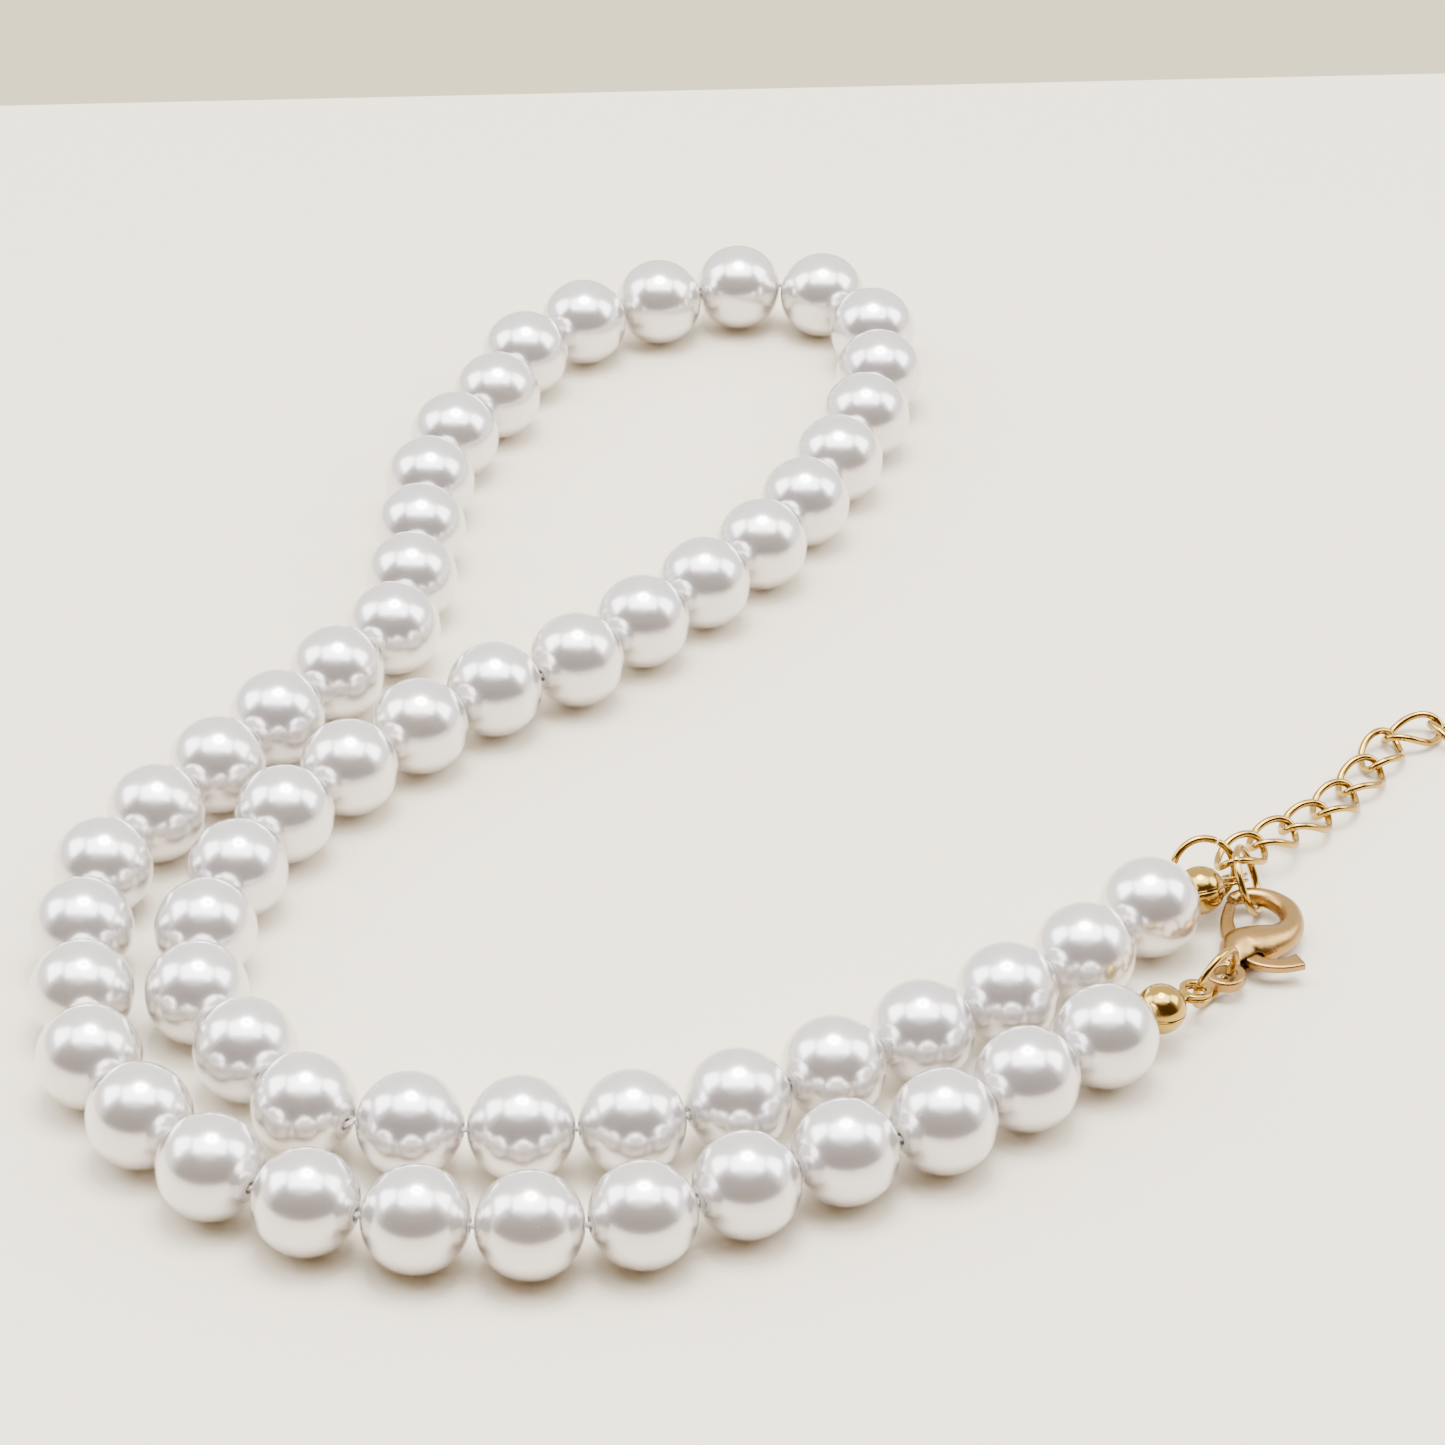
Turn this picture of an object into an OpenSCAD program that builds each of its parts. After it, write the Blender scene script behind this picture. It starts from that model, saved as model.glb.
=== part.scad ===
// Pearl necklace, clasped and laid down folded: two rows side by side that part into one long loop.
// Table frame: X to the right, Y away from the wearer's side, Z up, and Z = 0 is the surface it lies on.

/* [Pearls] */
// Diameter of every pearl
pearl_d = 8; // [7.8:0.05:8]
// Distance between neighbouring pearls' centres
pearl_pitch = 8.15; // [8.13:0.01:8.16]
// Diameter of the hole drilled through each pearl
drill_d = 1.1; // [1:0.05:1.4]
// Diameter of the stringing thread
thread_d = 0.5; // [0.3:0.05:0.6]

/* [Bead tips] */
// Outer diameter of the clamshell cup
tip_d = 3.9; // [3.6:0.1:4]
// Thickness of the cup's sheet metal
tip_wall = 0.3; // [0.25:0.05:0.4]
// Width of the seam between the two half cups
seam = 0.15; // [0.1:0.05:0.2]
// Distance from the cup's centre to the centre of its hook loop
loop_reach = 3.9; // [3.8:0.05:4]
// Inner radius of the hook loop
loop_hole_r = 0.8; // [0.75:0.05:0.85]
// Width of the metal around the loop
loop_rim = 0.5; // [0.4:0.05:0.55]

/* [Jump rings] */
// Diameter of the round wire of rings and links
wire_d = 0.6; // [0.5:0.05:0.62]
// Radius of the clasp ring's and extender ring's centre line
ring_r = 2.5; // [2.45:0.05:2.55]
// Radius of the catch ring's centre line
catch_r = 2.65; // [2.6:0.05:2.7]
// Angle of the saw cut in each jump ring
ring_cut = 4; // [2:1:8]

/* [Lobster clasp] */
// Outer radius of the eye
eye_r = 1.6; // [1.5:0.05:1.7]
// Radius of the hole in the eye
eye_hole_r = 0.9; // [0.85:0.05:0.95]
// Thickness of the eye
eye_t = 1; // [0.9:0.1:1.2]
// Diameter of the lever's pin
pin_d = 0.8; // [0.7:0.05:0.9]
// Thickness of the lever's sheet metal
lever_t = 0.7; // [0.6:0.05:0.75]

/* [Extender chain] */
// Half the length of a link's centre line
link_a = 2.68; // [2.66:0.01:2.7]
// Half the width of a link's centre line
link_b = 1.65; // [1.6:0.05:1.7]
// Twist of each end of a link out of its plane
link_twist = 45; // [42:1:50]
// Distance between neighbouring links' centres
link_pitch = 4.45; // [4.4:0.05:4.45]

/* [Hidden] */
// Middle of the laid-out necklace, which becomes the origin
MIDDLE = [13.13, 5.21];

// The strand's route from the extender end round the far loop to the clasp end
ROUTE = [
    [33.5, -25], [23, -35.5], [-2.5, -51.5], [-26.5, -52.5], [-34, -46], [-40, -35],
    [-35.5, -15], [-21.5, 2.5], [-14, 7.5], [-1, 22.5], [6, 33], [13, 51.5], [14, 65],
    [10, 72.5], [2, 75], [-16.5, 65], [-22.5, 48.5], [-26, 42.5], [-27.5, 16.5], [-31, 9],
    [-38.5, -3], [-48.5, -21], [-48.5, -35.5], [-45.5, -48], [-32, -61], [-9.5, -64],
    [8.5, -56], [16.5, -52], [28.5, -42]
];
PEARL_COUNT = 57;
// The three pearls in the middle of the far loop share one node, and the rest go in pairs
MIDDLE_GROUP = 14;
LAST_GROUP = 28;

// Angles of each bead tip: heading, slope down to the table, and roll about its own length
TIP_A_TURN = [43, 12, -30];
TIP_B_TURN = [43, 5, 0];
// Distance from the end pearl's centre to the cup's centre
tip_reach = pearl_d / 2 + tip_d / 2 + 0.15;

// Centre, tilt of the ring's axis from upright, and the heading that the axis tilts towards
CLASP_RING = [[38.1, -32.55, 2.9], 102, -39];
EXTENDER_RING = [[38.35, -18.2, 2.75], 63, -79];
CATCH_RING = [[41.74, -19.58, 2.78], 66.6, -7.3];

// The clasp's frame: the eye's centre, and the heading from the eye to the hook's top
EYE = [39.15, -30.6, 1.5];
CLASP_TURN = 72;
// Centre line of the cast body from beside the eye to the hook's tip: along, across, half height, half width
BODY = [
    [1.3, -0.1, 0.75, 0.75], [2.6, -0.2, 1.2, 1.35], [4, -0.5, 1.45, 1.9], [5, -1.6, 1.4, 1.8],
    [6.4, -3, 1.15, 1.3], [8.2, -3.4, 1, 1], [10, -2.7, 0.9, 0.9], [11, -1.2, 0.8, 0.8],
    [11.1, 0.4, 0.7, 0.7], [10.5, 1.5, 0.6, 0.6], [9.8, 1.9, 0.5, 0.5]
];
PIVOT = [3.7, -0.5];
// Centre line of the lever from the gate's tip past the pivot to the thumb tab: along, across, half width
LEVER = [
    [9.9, 1.75, 0.4], [8.4, 1.7, 0.45], [6.6, 1.45, 0.55], [5, 0.8, 0.7], [3.7, -0.4, 0.9],
    [2.5, -1.8, 0.65], [2.35, -3, 0.6], [2.8, -4.2, 0.65], [3.6, -5.1, 0.8]
];
gate_r = 5.95;
slot_t = 1.2;
spring_d = 0.25;

// Links of the extender: centre of the first two, then the heading of every link
LINK_1 = [[41.55, -16.2, 2.95], 50, 5];
LINK_2 = [[44.45, -12.85, 2.25], 49, 9];
LINK_TURNS = [46, 56, 56, 66, 26, -28, -50, -34, -20, -12];
LINK_SLOPES = [8, 4, 0, 0, 0, 0, 0, 0, 0, 0];
LINK_COUNT = 12;

// ---- points along a smooth curve through a list of points ----
function before(list, i) = i > 0 ? list[i - 1] : 2 * list[0] - list[1];
function after(list, i) = i + 2 < len(list) ? list[i + 2] : 2 * list[i + 1] - list[i];
function smooth(p0, p1, p2, p3, u) =
    (2 * p1 + (p2 - p0) * u + (2 * p0 - 5 * p1 + 4 * p2 - p3) * u * u + (3 * p1 - p0 - 3 * p2 + p3) * u * u * u) / 2;
function curve(list, t) =
    let (i = min(floor(t), len(list) - 2))
    smooth(before(list, i), list[i], list[i + 1], after(list, i), t - i);
function fine(list, steps) = [for (k = [0:(len(list) - 1) * steps]) curve(list, k / steps)];

// ---- the pearls' centres, one pitch apart along the route ----
function reach(low, high, from, n) =
    let (mid = (low + high) / 2)
    n == 0 ? mid : norm(curve(ROUTE, mid) - from) < pearl_pitch ? reach(mid, high, from, n - 1)
    : reach(low, mid, from, n - 1);
function string_up(t, count) =
    let (p = curve(ROUTE, t))
    count == 0 ? [] : concat([[p[0], p[1], pearl_d / 2]], string_up(reach(t, t + 1.5, p, 24), count - 1));
PEARLS = string_up(0, PEARL_COUNT);
LAST = PEARL_COUNT - 1;

function heading(v) = atan2(v[1], v[0]);
function unit(v) = v / norm(v);
// A direction from its heading and its slope down
function aim(turn, slope) = [cos(turn) * cos(slope), sin(turn) * cos(slope), -sin(slope)];

TIP_A = PEARLS[0] + tip_reach * aim(TIP_A_TURN[0], TIP_A_TURN[1]);
TIP_B = PEARLS[LAST] + tip_reach * aim(TIP_B_TURN[0], TIP_B_TURN[1]);

// The way each pearl's hole points, halfway between its two neighbours
function hole_way(k) =
    k == 0 ? unit(PEARLS[1] - TIP_A) : k == LAST ? unit(TIP_B - PEARLS[LAST - 1]) : unit(PEARLS[k + 1] - PEARLS[k - 1]);
function hole_turn(k) = heading(hole_way(k));

function two_digits(n) = n < 10 ? str("0", n) : str(n);
function pearls_name(g) = str("pearls_", two_digits(g + 1));
function link_name(n) = str("link_", two_digits(n));
function pearls_in(g) =
    g == 0 ? [0] : g == LAST_GROUP ? [LAST] : g < MIDDLE_GROUP ? [2 * g - 1, 2 * g]
    : g == MIDDLE_GROUP ? [2 * g - 1, 2 * g, 2 * g + 1] : [2 * g, 2 * g + 1];

// ---- a tube along 3-D points; radii and widths hold its half height and half width at each point ----
function way(path, i, closed) =
    let (n = len(path))
    closed ? unit(path[(i + 1) % n] - path[(i + n - 1) % n]) : unit(path[min(i + 1, n - 1)] - path[max(i - 1, 0)]);
module tube(path, radii, sides, closed = false, widths = []) {
    n = len(path);
    wide = len(widths) > 0 ? widths : radii;
    points = [
        for (i = [0:n - 1])
            let (t = way(path, i, closed), side = unit(cross([0, 0, 1], t)), up = cross(t, side))
                for (j = [0:sides - 1])
                    path[i] + wide[i] * cos(360 * j / sides) * side + radii[i] * sin(360 * j / sides) * up
    ];
    spans = closed ? n : n - 1;
    walls = [
        for (i = [0:spans - 1], j = [0:sides - 1])
            let (a = i * sides, b = ((i + 1) % n) * sides, k = (j + 1) % sides)
                each [[a + j, b + j, b + k], [a + j, b + k, a + k]]
    ];
    caps = closed ? [] : [[for (j = [0:sides - 1]) j], [for (j = [sides - 1:-1:0]) (n - 1) * sides + j]];
    polyhedron(points, concat(walls, caps));
}

module laid_out() {
    translate([-MIDDLE[0], -MIDDLE[1], 0])
        children();
}

module pearl(k) {
    translate(PEARLS[k])
        rotate([0, 90, hole_turn(k)])
            difference() {
                sphere(d = pearl_d, $fn = 48);
                cylinder(h = pearl_d + 1, d = drill_d, center = true, $fn = 24);
            }
}

module pearls(g) {
    color("ivory")
        laid_out()
            for (k = pearls_in(g))
                pearl(k);
}

// The thread runs straight through every hole and crosses from mouth to mouth between the pearls
module thread() {
    mouth = pearl_d / 2 * 0.97;
    cup_side = tip_d / 2;
    aim_a = aim(TIP_A_TURN[0], TIP_A_TURN[1]);
    aim_b = aim(TIP_B_TURN[0], TIP_B_TURN[1]);
    path = concat(
        [TIP_A + 0.8 * aim_a, TIP_A, TIP_A - cup_side * aim_a],
        [for (k = [0:LAST]) each [PEARLS[k] - mouth * hole_way_flat(k), PEARLS[k] + mouth * hole_way_flat(k)]],
        [TIP_B - cup_side * aim_b, TIP_B, TIP_B + 0.8 * aim_b]
    );
    color("white")
        laid_out()
            tube(path, [for (p = path) thread_d / 2], 8);
}
function hole_way_flat(k) = [cos(hole_turn(k)), sin(hole_turn(k)), 0];

// Local frame of a bead tip: +X from the cup to the hook loop, Z through the loop's hole
module tip_frame(at, turn) {
    laid_out()
        translate(at)
            rotate([0, turn[1], turn[0]])
                rotate([turn[2], 0, 0])
                    children();
}

module bead_tip() {
    prong_t = 0.3;
    hinge_x = -1;
    difference() {
        union() {
            rotate([0, 0, 150])
                sphere(d = tip_d, $fn = 48);
            for (z = [-seam / 2 - prong_t, seam / 2])
                translate([0, 0, z])
                    linear_extrude(height = prong_t) {
                        translate([tip_d / 2 - 0.4, -0.5])
                            square([loop_reach - loop_hole_r - tip_d / 2 + 0.1, 1]);
                        translate([loop_reach, 0])
                            difference() {
                                circle(r = loop_hole_r + loop_rim, $fn = 32);
                                circle(r = loop_hole_r, $fn = 32);
                            }
                    }
        }
        rotate([0, 0, 150])
            sphere(d = tip_d - 2 * tip_wall, $fn = 48);
        translate([hinge_x, -tip_d, -seam / 2])
            cube([tip_d * 2, tip_d * 2, seam]);
        translate([-tip_d, 0, 0])
            rotate([0, 90, 0])
                cylinder(h = tip_d, d = thread_d + 0.3, $fn = 24);
    }
}

// Crushed tube that grips the thread's end inside the cup
module crimp() {
    rotate([0, 90, 0])
        difference() {
            cylinder(h = 1, d = 1.3, center = true, $fn = 24);
            cylinder(h = 2, d = thread_d + 0.1, center = true, $fn = 24);
        }
}

module bead_tip_extender() {
    color("goldenrod")
        tip_frame(TIP_A, TIP_A_TURN)
            bead_tip();
}
module bead_tip_clasp() {
    color("goldenrod")
        tip_frame(TIP_B, TIP_B_TURN)
            bead_tip();
}
module crimp_extender() {
    color("darkgoldenrod")
        tip_frame(TIP_A, TIP_A_TURN)
            crimp();
}
module crimp_clasp() {
    color("darkgoldenrod")
        tip_frame(TIP_B, TIP_B_TURN)
            crimp();
}

// An open ring of round wire; place is its centre, its axis' tilt and the heading of that tilt
module jump_ring(place, r, cut_at) {
    laid_out()
        translate(place[0])
            rotate([0, place[1], place[2]])
                rotate([0, 0, cut_at + ring_cut / 2])
                    rotate_extrude(angle = 360 - ring_cut, $fn = 64)
                        translate([r, 0])
                            circle(d = wire_d, $fn = 16);
}
module clasp_ring() {
    color("gold")
        jump_ring(CLASP_RING, ring_r, 60);
}
module extender_ring() {
    color("gold")
        jump_ring(EXTENDER_RING, ring_r, 150);
}
module catch_ring() {
    color("gold")
        jump_ring(CATCH_RING, catch_r, 200);
}

// Local frame of the clasp: X from the eye to the hook's top, Y to the gate's side
module clasp_frame() {
    laid_out()
        translate(EYE)
            rotate([0, 0, CLASP_TURN])
                children();
}

function edge(path, i, sign) =
    let (a = path[max(i - 1, 0)], b = path[min(i + 1, len(path) - 1)], w = [b[0] - a[0], b[1] - a[1]])
    [path[i][0], path[i][1]] + sign * path[i][2] * [-w[1], w[0]] / norm(w);
// Flat outline of a strip along 2-D points that also hold its half width
function strip(path) =
    concat(
        [for (i = [0:len(path) - 1]) edge(path, i, 1)],
        [for (i = [len(path) - 1:-1:0]) edge(path, i, -1)]
    );

module lever_slot() {
    wide = [for (p = fine(LEVER, 3)) [p[0], p[1], p[2] + 0.25]];
    for (swing = [0, -9, -18])
        translate([PIVOT[0], PIVOT[1], -slot_t / 2])
            rotate([0, 0, swing])
                translate([-PIVOT[0], -PIVOT[1]])
                    linear_extrude(height = slot_t)
                        intersection() {
                            polygon(strip(wide));
                            translate(PIVOT)
                                circle(r = gate_r - 1.15, $fn = 64);
                        }
}

module clasp_body() {
    path = fine(BODY, 3);
    color("rosybrown")
        clasp_frame()
            difference() {
                union() {
                    tube([for (p = path) [p[0], p[1], 0]], [for (p = path) p[2]], 16,
                        widths = [for (p = path) p[3]]);
                    cylinder(r = eye_r, h = eye_t, center = true, $fn = 40);
                }
                cylinder(r = eye_hole_r, h = 4, center = true, $fn = 32);
                lever_slot();
                translate([PIVOT[0], PIVOT[1], 0])
                    cylinder(d = pin_d, h = 6, center = true, $fn = 24);
            }
}

module clasp_lever() {
    color("tan")
        clasp_frame()
            translate([0, 0, -slot_t / 2 + spring_d + 0.15])
                linear_extrude(height = lever_t)
                    difference() {
                        intersection() {
                            polygon(strip(fine(LEVER, 3)));
                            translate(PIVOT)
                                circle(r = gate_r, $fn = 96);
                        }
                        translate(PIVOT)
                            circle(d = pin_d + 0.1, $fn = 24);
                    }
}

module clasp_pin() {
    color("silver")
        clasp_frame()
            translate([PIVOT[0], PIVOT[1], 0])
                cylinder(d = pin_d, h = 2.4, center = true, $fn = 24);
}

// A turn of thin wire round the pin, under the lever
module clasp_spring() {
    color("silver")
        clasp_frame()
            translate([PIVOT[0], PIVOT[1], -slot_t / 2 + spring_d / 2 + 0.05])
                rotate_extrude(angle = 300, $fn = 32)
                    translate([pin_d / 2 + 0.3, 0])
                        circle(d = spring_d, $fn = 16);
}

// ---- extender chain ----
function after_link(from, turn, slope, new_turn, new_slope) =
    from + link_pitch / 2 * (aim(turn, slope) + aim(new_turn, new_slope));
function link_places(n, list) =
    let (last = list[len(list) - 1], i = len(list) - 2)
    len(list) == n ? list
    : link_places(n, concat(list, [[
        after_link(last[0], last[1], last[2], LINK_TURNS[i], LINK_SLOPES[i]), LINK_TURNS[i], LINK_SLOPES[i]
    ]]));
LINKS = link_places(LINK_COUNT, [LINK_1, LINK_2]);

// Each end of the link's oval is twisted out of its plane, so that the next link slips through it
module chain_link(place) {
    steps = 32;
    path = [
        for (k = [0:steps - 1])
            let (t = 360 * k / steps, lean = link_twist * cos(t))
                [link_a * cos(t), link_b * sin(t) * cos(lean), link_b * sin(t) * sin(lean)]
    ];
    color("gold")
        laid_out()
            translate(place[0])
                rotate([0, place[2], place[1]])
                    tube(path, [for (p = path) wire_d / 2], 8, closed = true);
}

for (g = [0:LAST_GROUP])
    pearls(g);
thread();
bead_tip_extender();
bead_tip_clasp();
crimp_extender();
crimp_clasp();
clasp_ring();
extender_ring();
catch_ring();
clasp_body();
clasp_lever();
clasp_pin();
clasp_spring();
for (n = [1:LINK_COUNT])
    chain_link(LINKS[n - 1]);
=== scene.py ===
import math

import bmesh
import bpy
from mathutils import Euler, Matrix, Vector


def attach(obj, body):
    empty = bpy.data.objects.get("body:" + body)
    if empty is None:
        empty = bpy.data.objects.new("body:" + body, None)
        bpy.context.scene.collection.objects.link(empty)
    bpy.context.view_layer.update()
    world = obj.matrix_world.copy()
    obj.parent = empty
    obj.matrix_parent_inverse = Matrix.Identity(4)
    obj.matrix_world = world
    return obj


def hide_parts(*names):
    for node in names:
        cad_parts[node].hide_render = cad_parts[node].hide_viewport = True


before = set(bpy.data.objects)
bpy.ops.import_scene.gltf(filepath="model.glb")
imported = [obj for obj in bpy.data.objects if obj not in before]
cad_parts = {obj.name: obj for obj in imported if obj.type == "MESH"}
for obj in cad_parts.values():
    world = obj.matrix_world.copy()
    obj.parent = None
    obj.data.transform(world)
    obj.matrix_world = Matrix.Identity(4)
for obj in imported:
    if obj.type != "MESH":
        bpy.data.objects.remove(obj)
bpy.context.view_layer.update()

# ---------------------------------------------------------------------------
# The strand. Fifty-seven round imitation pearls, 8 mm across, lie on the
# surface one behind the other. Their holes point from one neighbour to the next.
# ---------------------------------------------------------------------------
MM = 0.001
MIDDLE = (13.13, 5.21)
PEARL_RADIUS = 4.0
PEARL_PITCH = 8.15
PEARL_COUNT = 57
ROUTE = [
    (33.5, -25), (23, -35.5), (-2.5, -51.5), (-26.5, -52.5), (-34, -46), (-40, -35),
    (-35.5, -15), (-21.5, 2.5), (-14, 7.5), (-1, 22.5), (6, 33), (13, 51.5), (14, 65),
    (10, 72.5), (2, 75), (-16.5, 65), (-22.5, 48.5), (-26, 42.5), (-27.5, 16.5), (-31, 9),
    (-38.5, -3), (-48.5, -21), (-48.5, -35.5), (-45.5, -48), (-32, -61), (-9.5, -64),
    (8.5, -56), (16.5, -52), (28.5, -42),
]


def on_table(x, y, z=0.0):
    """A place in millimetres, measured from the middle of the laid-out necklace."""
    return Vector((x - MIDDLE[0], y - MIDDLE[1], z))


def along(points, t):
    """The point at t on the smooth curve through points, one unit from each point to the next."""
    i = min(int(t), len(points) - 2)
    u = t - i
    p1, p2 = Vector(points[i]), Vector(points[i + 1])
    p0 = Vector(points[i - 1]) if i > 0 else 2 * p1 - p2
    p3 = Vector(points[i + 2]) if i + 2 < len(points) else 2 * p2 - p1
    return (2 * p1 + (p2 - p0) * u + (2 * p0 - 5 * p1 + 4 * p2 - p3) * u * u
            + (3 * p1 - p0 - 3 * p2 + p3) * u ** 3) / 2


def string_up():
    """The pearls' centres, each one pitch from the last along the route."""
    t, centres = 0.0, []
    for _ in range(PEARL_COUNT):
        here = along(ROUTE, t)
        centres.append(on_table(here.x, here.y, PEARL_RADIUS))
        low, high = t, t + 1.5
        for _ in range(40):
            middle = (low + high) / 2
            if (along(ROUTE, middle) - here).length < PEARL_PITCH:
                low = middle
            else:
                high = middle
        t = (low + high) / 2
    return centres


def aimed(heading, slope):
    """A direction from its heading and its slope down, in degrees."""
    a, s = math.radians(heading), math.radians(slope)
    return Vector((math.cos(a) * math.cos(s), math.sin(a) * math.cos(s), -math.sin(s)))


pearl_centres = string_up()
TIP_REACH = 6.1
TIP_TURNS = {"extender": (43, 12, -30), "clasp": (43, 5, 0)}
tip_places = {
    "extender": pearl_centres[0] + TIP_REACH * aimed(*TIP_TURNS["extender"][:2]),
    "clasp": pearl_centres[-1] + TIP_REACH * aimed(*TIP_TURNS["clasp"][:2]),
}
stations = [tip_places["extender"]] + pearl_centres + [tip_places["clasp"]]
hole_ways = []
for k in range(PEARL_COUNT):
    way = stations[k + 2] - stations[k]
    hole_ways.append(Vector((way.x, way.y, 0)).normalized())

# The pearls that turn together on one body, by their running number
pearl_groups = [[0]] + [[2 * g - 1, 2 * g] for g in range(1, 14)] + [[27, 28, 29]]
pearl_groups += [[2 * g, 2 * g + 1] for g in range(15, 28)] + [[56]]


# ---------------------------------------------------------------------------
# One pearl: a moulded bead dipped in many coats of pearl lacquer, which rounds
# the mouths of its drilled hole. It is turned from one outline round the hole.
# ---------------------------------------------------------------------------
HOLE_RADIUS = 0.5
MOUTH_ANGLE = 9.0


def solid(name, points, faces):
    """A smooth-shaded object of these points, in millimetres, and faces."""
    mesh = bpy.data.meshes.new(name)
    mesh.from_pydata([tuple(p) for p in points], [], faces)
    mesh.validate()
    mesh.shade_smooth()
    made = bpy.data.objects.new(name, mesh)
    bpy.context.scene.collection.objects.link(made)
    return made


def turned(name, outline, steps, closed):
    """A lathe-turned solid: outline holds (radius, height) pairs, from its top to its bottom."""
    points, faces, rows = [], [], []
    for radius, height in outline:
        if radius < 1e-6:
            rows.append([len(points)] * steps)
            points.append((0, 0, height))
        else:
            rows.append(list(range(len(points), len(points) + steps)))
            points += [(radius * math.cos(2 * math.pi * j / steps),
                        radius * math.sin(2 * math.pi * j / steps), height) for j in range(steps)]
    pairs = list(zip(rows, rows[1:])) + ([(rows[-1], rows[0])] if closed else [])
    for upper, lower in pairs:
        for j in range(steps):
            k = (j + 1) % steps
            face = []
            for corner in (upper[j], lower[j], lower[k], upper[k]):
                if corner not in face:
                    face.append(corner)
            if len(face) > 2:
                faces.append(face)
    return solid(name, points, faces)


def pearl_outline():
    """From the top mouth over the outside to the bottom mouth, then back up the hole."""
    outside = []
    for i in range(41):
        angle = math.radians(MOUTH_ANGLE + (180 - 2 * MOUTH_ANGLE) * i / 40)
        outside.append((PEARL_RADIUS * math.sin(angle), PEARL_RADIUS * math.cos(angle)))
    lip = [(HOLE_RADIUS + 0.07, 3.93), (HOLE_RADIUS + 0.01, 3.86), (HOLE_RADIUS, 3.7)]
    hole = [(HOLE_RADIUS, -1.2), (HOLE_RADIUS, 1.2)]
    return outside + [(r, -z) for r, z in lip] + hole + lip[::-1]


pearl_pattern = turned("pearl_pattern", pearl_outline(), 64, closed=True)
mouth = pearl_pattern.data.attributes.new("mouth", "FLOAT", "POINT")
for i, vertex in enumerate(pearl_pattern.data.vertices):
    from_axis = Vector((vertex.co.x, vertex.co.y)).length
    mouth.data[i].value = max(0.0, min(1.0, (1.15 - from_axis) / 0.5))


class Signal:
    """The output of one node. Arithmetic on it adds Math nodes."""

    def __init__(self, bench, socket):
        self.bench, self.socket = bench, socket

    def maths(self, operation, a, b):
        return self.bench.node("ShaderNodeMath", {"operation": operation}, {0: a, 1: b})

    def __add__(self, other): return self.maths("ADD", self, other)
    def __radd__(self, other): return self.maths("ADD", other, self)
    def __sub__(self, other): return self.maths("SUBTRACT", self, other)
    def __rsub__(self, other): return self.maths("SUBTRACT", other, self)
    def __mul__(self, other): return self.maths("MULTIPLY", self, other)
    def __rmul__(self, other): return self.maths("MULTIPLY", other, self)
    def __pow__(self, other): return self.maths("POWER", self, other)


class Bench:
    """A node tree under construction, of a material or of a shape recipe."""

    def __init__(self, tree):
        self.tree = tree

    def node(self, kind, settings=None, inputs=None, output=0):
        """Adds a node: its settings first, then the values or links of its sockets."""
        made = self.tree.nodes.new(kind)
        for name, value in (settings or {}).items():
            setattr(made, name, value)
        for name, value in (inputs or {}).items():
            if isinstance(value, Signal):
                self.tree.links.new(value.socket, made.inputs[name])
            else:
                made.inputs[name].default_value = value
        return Signal(self, made.outputs[output]) if made.outputs else made

    def noise(self, place, scale, detail=2.0, roughness=0.5):
        """Soft cloudy noise from 0 to 1; scale is the number of clouds in a metre."""
        return self.node("ShaderNodeTexNoise", {}, {
            "Vector": place, "Scale": scale, "Detail": detail, "Roughness": roughness})

    def blend_colours(self, factor, first, second):
        return self.node("ShaderNodeMix", {"data_type": "RGBA"}, {0: factor, 6: first, 7: second}, 2)

    def step(self, value, low, high):
        """0 below low and 1 above high, with a soft step between them."""
        return self.node("ShaderNodeMapRange", {"interpolation_type": "SMOOTHSTEP"}, {
            "Value": value, "From Min": low, "From Max": high})


def finish_called(name):
    """A new material and its empty bench."""
    material = bpy.data.materials.new(name)
    material.use_nodes = True
    material.node_tree.nodes.clear()
    return material, Bench(material.node_tree)


def lay_on(bench, shader):
    """Makes this shader the material's surface."""
    bench.node("ShaderNodeOutputMaterial", {}, {"Surface": shader})


def rgb(red, green, blue):
    return (red, green, blue, 1.0)


# Pearl lacquer: white with faint warm and cool clouds, a soft inner lustre under
# a hard clear coat, fine ripples and pin-pricks, and a duller rim at each mouth,
# painted paler there to lift the shade that falls into the drilled hole.
pearl_lacquer, bench = finish_called("pearl_lacquer")
place = bench.node("ShaderNodeTexCoord", output="Object")
tone = bench.node("ShaderNodeAttribute", {"attribute_name": "tone"}, output="Fac")
at_mouth = bench.node("ShaderNodeAttribute", {"attribute_name": "mouth"}, output="Fac")
clouds = bench.noise(place, 260, 3.0)
ripples = bench.noise(place, 1500, 2.0)
specks = bench.node("ShaderNodeTexVoronoi", {}, {"Vector": place, "Scale": 900, "Randomness": 1.0})
pricks = bench.step(specks, 0.06, 0.02) * bench.step(bench.noise(place, 330), 0.56, 0.66)
warmth = clouds * 0.5 + tone * 0.5
body_colour = bench.blend_colours(warmth, rgb(0.75, 0.72, 0.735), rgb(0.78, 0.735, 0.69))
# painted light: the rim round each mouth is painted paler to lift the shade inside the hole
body_colour = bench.blend_colours(at_mouth * 0.5, body_colour, rgb(0.90, 0.86, 0.78))
body_colour = bench.blend_colours(pricks * 0.5, body_colour, rgb(0.72, 0.69, 0.63))
surface_height = ripples * 0.6 - pricks * 1.5 + clouds * 1.2
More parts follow.
